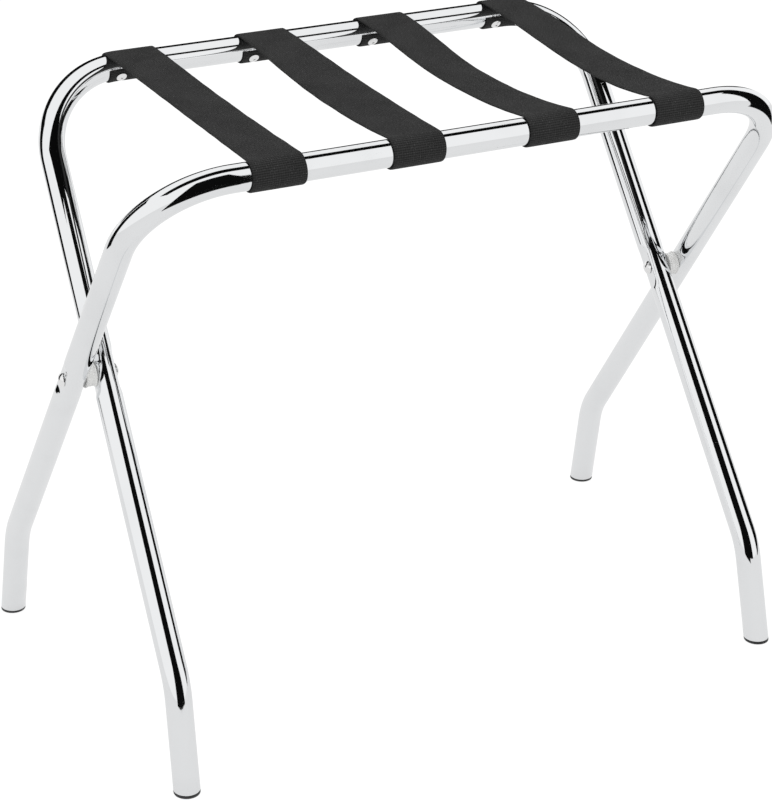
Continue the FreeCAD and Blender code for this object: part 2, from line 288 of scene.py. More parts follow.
class Nodes:
    """Builds one node tree, a node at a time."""

    def __init__(self, tree: bpy.types.NodeTree) -> None:
        """Keep the tree to add to."""
        self.tree = tree

    def add(self, kind: str, inputs: dict | None = None, **options: object) -> bpy.types.Node:
        """Add a node.

        Args:
            kind: The node's type name.
            inputs: Values or sockets for its inputs, by name or by number.
            options: Properties of the node itself.

        Returns:
            The new node.
        """
        node = self.tree.nodes.new(kind)
        for name, value in options.items():
            setattr(node, name, value)
        for name, value in (inputs or {}).items():
            if isinstance(value, bpy.types.NodeSocket):
                self.tree.links.new(value, node.inputs[name])
            else:
                node.inputs[name].default_value = value
        return node

    def math(self, operation: str, first: object, second: object = 0.0) -> bpy.types.NodeSocket:
        """Arithmetic on one or two values or sockets."""
        node = self.add("ShaderNodeMath", {0: first, 1: second}, operation=operation)
        return node.outputs[0]

    def ramp(
        self, value: bpy.types.NodeSocket, low: float, high: float, to_low: float, to_high: float
    ) -> bpy.types.NodeSocket:
        """Smooth change of a value from one range to another, held at both ends."""
        ranges = {"Value": value, 1: low, 2: high, 3: to_low, 4: to_high}
        node = self.add("ShaderNodeMapRange", ranges, interpolation_type="SMOOTHSTEP")
        return node.outputs[0]

    def noise(
        self, place: bpy.types.NodeSocket, scale: object, detail: float
    ) -> bpy.types.NodeSocket:
        """Noise from 0 to 1 over a position."""
        inputs = {"Vector": place, "Scale": scale, "Detail": detail}
        return self.add("ShaderNodeTexNoise", inputs).outputs["Fac"]

    def show(self, shader: bpy.types.NodeSocket) -> None:
        """Send a shader to the material's output."""
        self.add("ShaderNodeOutputMaterial", {0: shader})

    def mix(self, factor: object, first: object, second: object) -> bpy.types.NodeSocket:
        """Blend of two colours."""
        inputs = {0: factor, 6: first, 7: second}
        return self.add("ShaderNodeMix", inputs, data_type="RGBA").outputs[2]


def new_material(name: str) -> tuple[bpy.types.Material, Nodes]:
    """Empty node material, with the builder of its nodes."""
    made = bpy.data.materials.new(name)
    made.use_nodes = True
    made.node_tree.nodes.clear()
    return made, Nodes(made.node_tree)


def grey(level: float) -> tuple[float, float, float, float]:
    """Neutral colour of a linear brightness."""
    return (level, level, level, 1.0)


def new_group(name: str, inputs: dict[str, object], outputs: list[str]) -> bpy.types.NodeTree:
    """Empty shader node group with named sockets.

    Args:
        name: The group's name.
        inputs: Each input's name, with a number or None for a vector.
        outputs: Names of the outputs, all of them values.

    Returns:
        The group, with no nodes yet.
    """
    group = bpy.data.node_groups.new(name, "ShaderNodeTree")
    for label, start in inputs.items():
        kind = "NodeSocketVector" if start is None else "NodeSocketFloat"
        socket = group.interface.new_socket(name=label, in_out="INPUT", socket_type=kind)
        if start is not None:
            socket.default_value = start
    for label in outputs:
        group.interface.new_socket(name=label, in_out="OUTPUT", socket_type="NodeSocketFloat")
    return group


def handling_wear_group() -> bpy.types.NodeTree:
    """Fine scratches and cloudy finger marks, shared by every hard finish.

    Returns:
        A group that gives a smudge mask, a scratch mask and a height.
    """
    inputs = {"Position": None, "Smudge Scale": 18.0, "Scratch Scale": 240.0, "Wave Scale": 22.0}
    group = new_group("handling_wear", inputs, ["Smudge", "Scratch", "Height"])
    nodes = Nodes(group)
    given = nodes.add("NodeGroupInput").outputs
    result = nodes.add("NodeGroupOutput").inputs
    cloud = nodes.noise(given["Position"], given["Smudge Scale"], 5.0)
    streaks = nodes.add("ShaderNodeMapping", {"Vector": given["Position"], "Scale": (0.12, 1, 1)})
    lines = nodes.noise(streaks.outputs[0], given["Scratch Scale"], 3.0)
    waves = nodes.noise(given["Position"], given["Wave Scale"], 1.0)
    scratch = nodes.ramp(lines, 0.66, 0.74, 0.0, 1.0)
    nodes.tree.links.new(nodes.ramp(cloud, 0.48, 0.72, 0.0, 1.0), result["Smudge"])
    nodes.tree.links.new(scratch, result["Scratch"])
    cut = nodes.math("MULTIPLY", scratch, -0.004)
    nodes.tree.links.new(nodes.math("ADD", waves, cut), result["Height"])
    return group


def weave_group() -> bpy.types.NodeTree:
    """Plain weave of round yarns, over a strap's own flat coordinates in metres.

    Returns:
        A group that gives the yarns' height and a mask of their tops.
    """
    inputs = {"Flat Place": None, "Warp Pitch": 0.0013, "Weft Pitch": 0.0017}
    group = new_group("woven_yarns", inputs, ["Height", "Yarn"])
    nodes = Nodes(group)
    given = nodes.add("NodeGroupInput").outputs
    result = nodes.add("NodeGroupOutput").inputs
    place = nodes.add("ShaderNodeSeparateXYZ", {0: given["Flat Place"]}).outputs
    waves = []
    for axis, pitch in (("X", "Warp Pitch"), ("Y", "Weft Pitch")):
        turns = nodes.math("DIVIDE", place[axis], given[pitch])
        waves.append(nodes.math("SINE", nodes.math("MULTIPLY", turns, math.pi)))
    crossing = nodes.math("MULTIPLY", waves[0], waves[1])
    rows = nodes.math("ABSOLUTE", waves[1])
    columns = nodes.math("MULTIPLY", nodes.math("ABSOLUTE", waves[0]), 0.5)
    ribs = nodes.math("MULTIPLY", nodes.math("ADD", rows, columns), 0.75)
    height = nodes.math("ADD", nodes.math("MULTIPLY", crossing, 0.16), ribs)
    nodes.tree.links.new(height, result["Height"])
    nodes.tree.links.new(nodes.ramp(height, 0.1, 1.1, 0.0, 1.0), result["Yarn"])
    return group


@dataclass(frozen=True)
class HardFinish:
    """Smooth finish: plating or moulded plastic, with the marks of handling."""

    slot: str
    colour: tuple[float, float, float]
    metallic: float
    roughness: float
    smudge_roughness: float
    scratch_roughness: float
    wave_height: float
    wave_scale: float
    shade_change: float

    def material(self, wear: bpy.types.NodeTree) -> bpy.types.Material:
        """Build the finish's material.

        Args:
            wear: The handling wear group.

        Returns:
            A node material that reads Object coordinates.
        """
        made, nodes = new_material(self.slot)
        place = nodes.add("ShaderNodeTexCoord").outputs["Object"]
        marks = nodes.add(
            "ShaderNodeGroup", {"Position": place, "Wave Scale": self.wave_scale}, node_tree=wear
        )
        dull = nodes.math("MULTIPLY", marks.outputs["Smudge"], self.smudge_roughness)
        rubbed = nodes.math("MULTIPLY", marks.outputs["Scratch"], self.scratch_roughness)
        added = nodes.math("ADD", dull, rubbed)
        roughness = nodes.math("ADD", added, self.roughness)
        full = (*self.colour, 1.0)
        faded = tuple(max(0.0, part * (1 - self.shade_change)) for part in self.colour) + (1.0,)
        colour = nodes.mix(marks.outputs["Smudge"], full, faded)
        bump = nodes.add(
            "ShaderNodeBump",
            {"Height": marks.outputs["Height"], "Distance": self.wave_height, "Strength": 1.0},
        )
        shader = nodes.add(
            "ShaderNodeBsdfPrincipled",
            {
                "Base Color": colour,
                "Metallic": self.metallic,
                "Roughness": roughness,
                "Normal": bump.outputs[0],
            },
        )
        nodes.show(shader.outputs[0])
        return made


@dataclass(frozen=True)
class WebbingFinish:
    """Charcoal webbing: round yarns with painted shade in the hollows between them, faint slubs,
    lint and a tighter selvedge.
    """

    slot: str = "strap_webbing"
    dark: float = 0.007
    light: float = 0.034
    width: float = 45 * MM
    selvedge: float = 1.6 * MM
    yarn_height: float = 0.35 * MM
    warp_pitch: float = 1.9 * MM
    weft_pitch: float = 1.75 * MM
    slub_scale: float = 900.0
    slub_squeeze: float = 0.06
    slub_tone: float = 0.35
    slub_relief: float = 0.25
    # How much lighter the yarn tops are than the hollows between the yarns: painted shade.
    groove_painted_shade: float = 0.70
    edge_tone: float = 0.12
    edge_relief: float = 0.55
    fading_scale: float = 26.0
    lint_scale: float = 700.0
    lint_cover: float = 0.5
    lint_brightness: float = 3.2

    def material(self, weave: bpy.types.NodeTree) -> bpy.types.Material:
        """Build the webbing's material, which reads the strap's own flat map.

        Args:
            weave: The woven yarns group.

        Returns:
            The node material.
        """
        made, nodes = new_material(self.slot)
        flat = nodes.add("ShaderNodeUVMap", uv_map=FLAT_MAP).outputs[0]
        pitches = {"Warp Pitch": self.warp_pitch, "Weft Pitch": self.weft_pitch}
        yarns = nodes.add("ShaderNodeGroup", {"Flat Place": flat, **pitches}, node_tree=weave)
        across = nodes.add("ShaderNodeSeparateXYZ", {0: flat}).outputs["X"]
        off_middle = nodes.math("ABSOLUTE", nodes.math("SUBTRACT", across, self.width / 2))
        edge_start = self.width / 2 - self.selvedge
        edge = nodes.ramp(off_middle, edge_start, edge_start + 0.4 * MM, 0.0, 1.0)
        drawn_out = {"Vector": flat, "Scale": (1.0, self.slub_squeeze, 1.0)}
        stretched = nodes.add("ShaderNodeMapping", drawn_out)
        slubs = nodes.noise(stretched.outputs[0], self.slub_scale, 2.0)
        fading = nodes.noise(flat, self.fading_scale, 3.0)
        specks = nodes.noise(flat, self.lint_scale, 1.0)
        lint = nodes.ramp(specks, 0.64, 0.72, 0.0, self.lint_cover)
        # Yarn tops lighter and the hollows between the yarns darker: painted shade in the weave's
        # grooves.
        tone_and_groove_shade = nodes.math("MULTIPLY", yarns.outputs["Yarn"], self.groove_painted_shade)
        tone_and_groove_shade = nodes.math("ADD", tone_and_groove_shade, nodes.math("MULTIPLY", slubs, self.slub_tone))
        tone_and_groove_shade = nodes.math("ADD", tone_and_groove_shade, nodes.ramp(fading, 0.35, 0.65, -0.10, 0.12))
        tone_and_groove_shade = nodes.math("SUBTRACT", tone_and_groove_shade, nodes.math("MULTIPLY", edge, self.edge_tone))
        cloth = nodes.mix(tone_and_groove_shade, grey(self.dark), grey(self.light))
        colour = nodes.mix(lint, cloth, grey(self.light * self.lint_brightness))
        flatter = nodes.ramp(edge, 0, 1, 1.0, self.edge_relief)
        raised = nodes.math("MULTIPLY", yarns.outputs["Height"], flatter)
        raised = nodes.math("ADD", raised, nodes.math("MULTIPLY", slubs, self.slub_relief))
        bump = nodes.add(
            "ShaderNodeBump", {"Height": raised, "Distance": self.yarn_height, "Strength": 1.0}
        )
        shader = nodes.add(
            "ShaderNodeBsdfPrincipled",
            {
                "Base Color": colour,
                "Roughness": nodes.ramp(yarns.outputs["Yarn"], 0.0, 1.0, 0.86, 0.68),
                "Specular IOR Level": 0.10,
                "Sheen Weight": 0.02,
                "Sheen Roughness": 0.5,
                "Normal": bump.outputs[0],
            },
        )
        nodes.show(shader.outputs[0])
        return made


@dataclass(frozen=True)
class ThreadFinish:
    """Loose thread ends of the webbing: the same charcoal, fluffed paler at random."""

    name: str = "strap_thread_ends"
    dark: float = 0.022
    light: float = 0.075
    fluff_scale: float = 700.0
    fluff_height: float = 0.1 * MM

    def material(self) -> bpy.types.Material:
        """Build the threads' material, which reads Object coordinates."""
        made, nodes = new_material(self.name)
        place = nodes.add("ShaderNodeTexCoord").outputs["Object"]
        fluff = nodes.noise(place, self.fluff_scale, 2.0)
        colour = nodes.mix(nodes.ramp(fluff, 0.3, 0.7, 0, 1), grey(self.dark), grey(self.light))
        bump = nodes.add("ShaderNodeBump", {"Height": fluff, "Distance": self.fluff_height})
        shader = nodes.add(
            "ShaderNodeBsdfPrincipled",
            {"Base Color": colour, "Roughness": 0.8, "Normal": bump.outputs[0]},
        )
        nodes.show(shader.outputs[0])
        return made


# ------------------------------------------------------------- bent tubes


def open_ring(geometry: list) -> list[bmesh.types.BMEdge]:
    """The open edges among an operator's output."""
    return [item for item in geometry if isinstance(item, bmesh.types.BMEdge) and item.is_boundary]


def extrude_ring(
    mesh: bmesh.types.BMesh, ring: list[bmesh.types.BMEdge], change: Matrix
) -> list[bmesh.types.BMEdge]:
    """Extrude an open ring of edges and place the new one.

    Args:
        mesh: The mesh that holds the ring.
        ring: Edges of the open ring.
        change: Where the new ring goes, from the old one's place.

    Returns:
        Edges of the new open ring.
    """
    made = bmesh.ops.extrude_edge_only(mesh, edges=ring)["geom"]
    verts = [item for item in made if isinstance(item, bmesh.types.BMVert)]
    bmesh.ops.transform(mesh, matrix=change, verts=verts)
    return open_ring(made)


def resize_ring(centre: Vector, factor: float, shift: Vector) -> Matrix:
    """Change that scales a ring about its centre and then shifts it."""
    back = Matrix.Translation(-centre)
    return Matrix.Translation(centre + shift) @ Matrix.Diagonal((factor, factor, factor, 1)) @ back


@dataclass(frozen=True)
class BentTube:
    """One chromed tube, from foot to foot, with its flats pressed in at the pivots."""

    sizes: RackSizes
    loop: Loop
    ring_steps: int = 64
    bend_step: float = math.radians(2.5)
    station_margin: float = 3 * MM
    flat_station: float = 1.2 * MM
    flat_half_length: float = 12 * MM
    flat_ramp: float = 9 * MM
    flat_sharpness: float = 14
    smallest_offset: float = 1e-9
    below_floor: float = 10 * MM
    chamfer: float = 0.6 * MM
    wall: float = 1.2 * MM
    bore_depth: float = 6 * MM

    def corners(self) -> list[Vector]:
        """Corner points of the centre line, from the left foot to the right foot.

        Returns:
            Six points, the first and last a little below the floor.
        """
        sizes = self.sizes
        rail_side = self.loop.rail_side
        run = sizes.foot_half_depth - sizes.foot_bend_half_depth
        foot_depth = sizes.foot_half_depth + run * self.below_floor / sizes.foot_bend_height
        places = [
            (-rail_side * foot_depth, -self.below_floor),
            (-rail_side * sizes.foot_bend_half_depth, sizes.foot_bend_height),
            (rail_side * sizes.rail_half_depth, sizes.rail_height),
        ]
        right = [Vector((sizes.half_width(self.loop, z), y, z)) for y, z in places]
        left = [Vector((-point.x, point.y, point.z)) for point in right]
        return left + right[::-1]

    def straight(
        self,
        mesh: bmesh.types.BMesh,
        ring: list[bmesh.types.BMEdge],
        start: Vector,
        end: Vector,
    ) -> list[bmesh.types.BMEdge]:
        """Extrude the ring along a straight run, in short steps past the pivot.

        Args:
            mesh: The tube's mesh.
            ring: Edges of the open ring at the run's start.
            start: Start of the run.
            end: End of the run.

        Returns:
            Edges of the open ring at the run's end.
        """
        length = (end - start).length
        along = (end - start).normalized()
        stations = {self.station_margin, length - self.station_margin, length}
        if (start.z - self.sizes.pivot_height) * (end.z - self.sizes.pivot_height) < 0:
            middle = (self.sizes.pivot_height - start.z) / along.z
            reach = self.flat_half_length + self.flat_ramp + self.flat_station
            count = math.ceil(reach / self.flat_station)
            stations |= {middle + index * self.flat_station for index in range(-count, count + 1)}
        done = 0.0
        for station in sorted(stations):
            ring = extrude_ring(mesh, ring, Matrix.Translation(along * (station - done)))
            done = station
        return ring

    def press_flats(self, mesh: bmesh.types.BMesh) -> None:
        """Press the flats into both faces of both legs, softly ramped at their ends."""
        sizes = self.sizes
        direction = Vector((0, self.loop.rail_side * sizes.leg_slope, 1)).normalized()
        pivot = Vector((0, 0, sizes.pivot_height))
        for vert in mesh.verts:
            reach = abs((vert.co - pivot).dot(direction))
            away = (vert.co - pivot - direction * (vert.co - pivot).dot(direction)).yz.length
            if reach > self.flat_half_length + self.flat_ramp or away > 2 * sizes.tube_radius:
                continue
            ramp = min(1.0, max(0.0, (reach - self.flat_half_length) / self.flat_ramp))
            eased = ramp * ramp * (3 - 2 * ramp)
            middle = math.copysign(sizes.half_width(self.loop, vert.co.z), vert.co.x)
            offset = abs(vert.co.x - middle)
            if offset < self.smallest_offset:
                continue
            limit = sizes.flat_half_thickness
            power = self.flat_sharpness
            pressed = (offset**-power + limit**-power) ** (-1 / power)
            kept = pressed + (offset - pressed) * eased
            vert.co.x = middle + math.copysign(kept, vert.co.x - middle)

    def cut_feet(self, mesh: bmesh.types.BMesh) -> None:
        """Cut both ends level over the plugs, chamfer them and close the bore."""
        sizes = self.sizes
        level = sizes.plug_flange + self.chamfer
        bmesh.ops.bisect_plane(
            mesh,
            geom=mesh.verts[:] + mesh.edges[:] + mesh.faces[:],
            plane_co=(0, 0, level),
            plane_no=(0, 0, 1),
            clear_inner=True,
        )
        for side in Side:
            ring = [
                edge
                for edge in mesh.edges
                if edge.is_boundary and edge.verts[0].co.x * side.value > 0
            ]
            middle = sum((edge.verts[0].co for edge in ring), Vector()) / len(ring)
            narrow = 1 - self.chamfer / sizes.tube_radius
            bore = (sizes.tube_radius - self.wall) / sizes.tube_radius
            down = Vector((0, 0, -self.chamfer))
            ring = extrude_ring(mesh, ring, resize_ring(middle, narrow, down))
            middle += down
            ring = extrude_ring(mesh, ring, resize_ring(middle, bore / narrow, Vector()))
            up = Vector((0, 0, self.bore_depth))
            ring = extrude_ring(mesh, ring, resize_ring(middle, 1.0, up))
            bmesh.ops.edgeloop_fill(mesh, edges=ring)

    def build(self) -> bmesh.types.BMesh:
        """Bend the tube: a ring is extruded along the runs and spun round the bends.

        Returns:
            The tube's closed mesh.
        """
        sizes = self.sizes
        corners = self.corners()
        mesh = bmesh.new()
        start = corners[0]
        bmesh.ops.create_circle(
            mesh,
            cap_ends=False,
            segments=self.ring_steps,
            radius=sizes.tube_radius,
            matrix=facing(start, corners[1] - start),
        )
        ring = mesh.edges[:]
        foot, corner_bend = sizes.foot_bend_radius, sizes.corner_radius
        radii = [foot, corner_bend, corner_bend, foot]
        for before, corner, after, radius in zip(corners, corners[1:], corners[2:], radii):
            back = (before - corner).normalized()
            ahead = (after - corner).normalized()
            half_angle = back.angle(ahead) / 2
            reach = radius / math.tan(half_angle)
            centre = corner + (back + ahead).normalized() * (radius / math.sin(half_angle))
            turn = math.pi - 2 * half_angle
            ring = self.straight(mesh, ring, start, corner + back * reach)
            spun = bmesh.ops.spin(
                mesh,
                geom=ring,
                cent=centre,
                axis=ahead.cross(back).normalized(),
                angle=turn,
                steps=math.ceil(turn / self.bend_step),
                use_merge=False,
                use_duplicate=False,
            )
            ring = open_ring(spun["geom_last"])
            start = corner + ahead * reach
        self.straight(mesh, ring, start, corners[-1])
        self.press_flats(mesh)
        self.cut_feet(mesh)
        bmesh.ops.recalc_face_normals(mesh, faces=mesh.faces[:])
        return mesh

    def dress(self, finish: bpy.types.Material) -> bpy.types.Object:
        """Build the tube, give it its finish and let it ride on its frame."""
        piece = finish_mesh(f"{self.loop.value}_bent_tube", self.build(), finish)
        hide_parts(f"{self.loop.body}_tube")
        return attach(piece, self.loop.body)


@dataclass(frozen=True)
class FootPlug:
    """Moulded plug in one cut tube end: a level flange, hollowed out underneath."""

    sizes: RackSizes
    loop: Loop
    side: Side
    ring_steps: int = 56
    edge: float = 0.5 * MM
    stem_radius: float = 9.7 * MM
    stem_height: float = 6 * MM
    hollow_radius: float = 7.4 * MM
    hollow_depth: float = 0.9 * MM

    def build(self) -> bmesh.types.BMesh:
        """Stack the plug's rings, from the middle of its underside to its stem's top.

        Returns:
            The plug's closed mesh.
        """
        sizes = self.sizes
        flange = sizes.plug_flange
        full = sizes.tube_radius - 0.05 * MM
        rings = [
            (self.hollow_radius - 0.6 * MM, self.hollow_depth),
            (self.hollow_radius, self.hollow_depth - 0.2 * MM),
            (self.hollow_radius + 0.5 * MM, 0.15 * MM),
            (self.hollow_radius + 0.9 * MM, 0.0),
            (full - self.edge, 0.0),
            (full - 0.3 * self.edge, 0.3 * self.edge),
            (full, self.edge),
            (full, flange - 0.3 * self.edge),
            (full - 0.3 * self.edge, flange),
            (self.stem_radius, flange),
            (self.stem_radius, flange + self.stem_height),
        ]
        rail_side = self.loop.rail_side
        run = sizes.foot_half_depth - sizes.foot_bend_half_depth
        lean = Vector((0, rail_side * run / sizes.foot_bend_height, 1))
        stretch = lean.length
        x = self.side.value * sizes.half_width(self.loop, 0)
        foot = Vector((x, -rail_side * sizes.foot_half_depth, 0))
        mesh = bmesh.new()
        radius, height = rings[0]
        place = Matrix.Translation(foot + lean * height) @ Matrix.Diagonal((1, stretch, 1, 1))
        bmesh.ops.create_circle(
            mesh, cap_ends=False, segments=self.ring_steps, radius=radius, matrix=place
        )
        ring = mesh.edges[:]
        bmesh.ops.edgeloop_fill(mesh, edges=ring)
        for (last_radius, last_height), (radius, height) in zip(rings, rings[1:]):
            centre = foot + lean * last_height
            shift = lean * (height - last_height)
            change = resize_ring(centre, radius / last_radius, shift)
            ring = extrude_ring(mesh, ring, change)
        bmesh.ops.edgeloop_fill(mesh, edges=ring)
        bmesh.ops.recalc_face_normals(mesh, faces=mesh.faces[:])
        return mesh

    def dress(self, finish: bpy.types.Material) -> bpy.types.Object:
        """Build the plug, give it its finish and let it ride on its frame."""
        name = f"{self.loop.value}_foot_plug_{self.side.word}"
        piece = finish_mesh(f"{name}_moulding", self.build(), finish, 30)
        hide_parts(name)
        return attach(piece, self.loop.body)


# ----------------------------------------------------------------- pivots


@dataclass(frozen=True)
class PivotRivet:
    """Long rivet through a pair of legs, with a shallow dome at both ends."""

    side: Side
    shank_radius: float = 3.2 * MM
    head_radius: float = 6 * MM
    head_height: float = 3.6 * MM
    rim: float = 0.9 * MM

    def build(self) -> bmesh.types.BMesh:
        """Turn the rivet about the pivot axis, between the ends that the frame gives.

        Returns:
            The rivet's closed mesh.
        """
        low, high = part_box(f"pivot_rivet_{self.side.word}")
        middle = (low + high) / 2
        length = high.x - low.x
        head = dome_profile(self.head_radius, self.head_height, self.rim)[1:]
        grip = length - 2 * self.head_height
        far = [(radius, height + grip) for radius, height in head]
        near = [(radius, -height) for radius, height in reversed(head)]
        profile = near + [(self.shank_radius, 0.0), (self.shank_radius, grip)] + far
        mesh = bmesh.new()
        start = Vector((low.x + self.head_height, middle.y, middle.z))
        spin_profile(mesh, profile, facing(start, Vector((1, 0, 0))))
        return mesh

    def dress(self, finish: bpy.types.Material) -> bpy.types.Object:
        """Build the rivet, give it its finish and let it ride on the outer frame."""
        name = f"pivot_rivet_{self.side.word}"
        piece = finish_mesh(f"{name}_domed", self.build(), finish)
        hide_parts(name)
        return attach(piece, Loop.OUTER.body)


@dataclass(frozen=True)
class PivotSpacer:
    """Nylon spacer between two legs: two flanges with a slight waist."""

    side: Side
    bore_radius: float = 3.2 * MM
    waist_depth: float = 0.9 * MM
    flange: float = 1.1 * MM
    edge: float = 0.35 * MM

    def build(self) -> bmesh.types.BMesh:
        """Turn the spacer about the pivot axis, inside the box that the frame gives.

        Returns:
            The spacer's closed mesh.
        """
        low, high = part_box(f"pivot_spacer_{self.side.word}")
        radius = (high.z - low.z) / 2
        length = high.x - low.x
        waist = radius - self.waist_depth
        half = [
            (self.bore_radius, 0.0),
            (radius - self.edge, 0.0),
            (radius, self.edge),
            (radius, self.flange - self.edge),
            (radius - self.edge, self.flange),
            (waist, self.flange + self.waist_depth),
        ]
        other = [(spot, length - height) for spot, height in reversed(half)]
        mesh = bmesh.new()
        middle = (low + high) / 2
        start = Vector((low.x, middle.y, middle.z))
        place = facing(start, Vector((1, 0, 0)))
        spin_profile(mesh, half + other + half[:1], place, steps=56)
        return mesh

    def dress(self, finish: bpy.types.Material) -> bpy.types.Object:
        """Build the spacer, give it its finish and let it ride on the outer frame."""
        name = f"pivot_spacer_{self.side.word}"
        piece = finish_mesh(f"{name}_turned", self.build(), finish, 30)
        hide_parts(name)
        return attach(piece, Loop.OUTER.body)


# ----------------------------------------------------------------- straps


@dataclass(frozen=True)
class StrapHang:
    """How one strap hangs: its sag and its lowest place, at its left and right edge."""

    number: int
    left_sag: float
    right_sag: float
    left_low: float
    right_low: float

    def at(self, across: float) -> tuple[float, float]:
        """Sag and lowest place at a point across the strap, from -0.5 to 0.5."""
        share = across + 0.5
        sag = self.left_sag + (self.right_sag - self.left_sag) * share
        return sag, self.left_low + (self.right_low - self.left_low) * share


@dataclass(frozen=True)
class WebbingStrap:
    """One woven strap: over both rails, round them and riveted to their undersides."""

    sizes: RackSizes
    hang: StrapHang
    front: float
    rear: float
    width: float = 45 * MM
    thickness: float = 1.7 * MM
    rail_gap: float = 0.15 * MM
    wrap: float = math.radians(270)
    rivet_place: float = math.radians(236)
    rivet_half_spacing: float = 12 * MM
    rivet_dent: float = 0.5 * MM
    dent_radius: float = 5 * MM
    edge_roundness: float = 40
    steepness: float = 2.2
    row_length: float = 0.85 * MM
    half_columns: int = 24
    edge_step: float = 0.10 * MM
    edge_wander: float = 0.35 * MM
    ripple: float = 0.25 * MM
    ripple_length: float = 38 * MM
    wander_waves: float = 22
    blend_inset: float = 1.6

    @property
    def name(self) -> str:
        """Name of the strap's CAD node."""
        return f"strap_{self.hang.number}"

    @property
    def ring_radius(self) -> float:
        """Radius of the strap's middle layer round a rail."""
        return self.sizes.tube_radius + self.rail_gap + self.thickness / 2

    @property
    def flat_length(self) -> float:
        """Length that the strap was cut to, along its middle layer."""
        return 2 * self.sizes.rail_half_depth + 2 * self.ring_radius * self.wrap

    def around(self, loop: Loop, x: float, radius: float, turn: float) -> Vector:
        """Point near a rail: the turn runs from its crest over its outer side.

        Args:
            loop: The tube whose rail it is.
            x: Place along the rail.
            radius: Distance from the rail's centre line.
            turn: Angle from the crest.

        Returns:
            The point in the frame's axes.
        """
        centre = self.sizes.rail_centre(loop, x)
        return centre + Vector(
            (0, loop.rail_side * radius * math.sin(turn), radius * math.cos(turn))
        )

    def dent(self, across: float, turn: float) -> float:
        """How far the two rivets press the webbing in at a place on a rail."""
        offset = self.ring_radius * (turn - self.rivet_place)
        side = abs(across * self.width) - self.rivet_half_spacing
        return self.rivet_dent * math.exp(-((offset**2 + side**2) / self.dent_radius**2))

    def place(self, across: float, along: float, lift: float) -> Vector:
        """Point of the strap as it hangs.

        Args:
            across: Place across the strap, from -0.5 to 0.5.
            along: Place along the strap, from 0 at the front end to 1 at the rear.
            lift: Height over the strap's middle layer.

        Returns:
            The point in the frame's axes.
        """
        sag, low = self.hang.at(across)
        span = 2 * self.sizes.rail_half_depth
        leaving = math.atan(self.steepness / low * sag / span)
        share = self.ring_radius * self.wrap / self.flat_length
        part = (along - share) / (1 - 2 * share)
        middle = self.front + (self.rear - self.front) * min(1.0, max(0.0, part))
        x = middle + across * self.width
        radius = self.ring_radius + lift
        if along < share:
            turn = self.wrap - (self.wrap + leaving) * along / share
            dent = self.dent(across, turn) if lift > 0 else 0.0
            return self.around(Loop.OUTER, x, radius - dent, turn)
        if along > 1 - share:
            turn = self.wrap * (along - 1 + share) / share
            dent = self.dent(across, turn) if lift > 0 else 0.0
            return self.around(Loop.INNER, x, radius - dent, turn)
        start = self.around(Loop.OUTER, x, self.ring_radius, -leaving)
        end = self.around(Loop.INNER, x, self.ring_radius, 0.0)
        crest = self.sizes.rail_height + self.ring_radius
        dropped = crest - start.z
        if part < low:
            drop = 1 - (1 - part / low) ** self.steepness
            drop = dropped + (sag - dropped) * drop
        else:
            climb = (1 - math.cos(math.pi * (part - low) / (1 - low))) / 2
            drop = sag + (crest - end.z - sag) * climb
        y = start.y + (end.y - start.y) * part
        fade = math.sin(math.pi * part)
        seed = Vector((x / self.ripple_length, y / self.ripple_length, self.hang.number))
        wave = self.ripple * fade * noise.noise(seed)
        return Vector((x, y, crest - drop + lift + wave))

    def build(self) -> bmesh.types.BMesh:
        """Shape a grid into a flat closed sleeve, with a round selvedge each side.

        Returns:
            The strap's closed mesh, with its flat map in metres.
        """
        rows = round(self.flat_length / self.row_length)
        mesh = bmesh.new()
        bmesh.ops.create_grid(mesh, x_segments=2 * self.half_columns, y_segments=rows, size=0.5)
        flat = mesh.loops.layers.uv.new(FLAT_MAP)
        map_places = {}
        for vert in mesh.verts:
            around, along = vert.co.x + 0.5, vert.co.y + 0.5
            across = -math.cos(2 * math.pi * around) / 2
            face = 1 if around <= 0.5 else -1
            bulge = math.sqrt(max(0.0, 1 - abs(2 * across) ** self.edge_roundness))
            lift = face * bulge * self.thickness / 2
            at_edge = abs(2 * across) ** self.edge_roundness
            tooth = self.edge_step * (-1) ** round(along * rows)
            edge_seed = (math.copysign(3, across), along * self.wander_waves, self.hang.number)
            wander = noise.noise(Vector(edge_seed))
            push = math.copysign(at_edge * tooth, across) + wander * self.edge_wander
            map_places[vert.index] = ((across + 0.5) * self.width, along * self.flat_length)
            vert.co = self.place(across, along, lift) + Vector((push, 0, 0))
        for face in mesh.faces:
            for loop in face.loops:
                loop[flat].uv = map_places[loop.vert.index]
        bmesh.ops.remove_doubles(mesh, verts=mesh.verts[:], dist=MERGE_DISTANCE)
        ends = [edge for edge in mesh.edges if edge.is_boundary]
        caps = bmesh.ops.holes_fill(mesh, edges=ends, sides=0)["faces"]
        bmesh.ops.triangulate(mesh, faces=caps)
        bmesh.ops.recalc_face_normals(mesh, faces=mesh.faces[:])
        return mesh

    def dress(self, finish: bpy.types.Material, threads: bpy.types.Material) -> bpy.types.Object:
        """Build the strap with its frayed ends.

        Args:
            finish: The webbing's material.
            threads: The loose threads' material.

        Returns:
            The strap.
        """
        piece = finish_mesh(f"{self.name}_webbing", self.build(), finish, 60)
        frays = [CutEnd(self, loop).dress(threads) for loop in Loop]
        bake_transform(piece)
        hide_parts(self.name)
        return piece


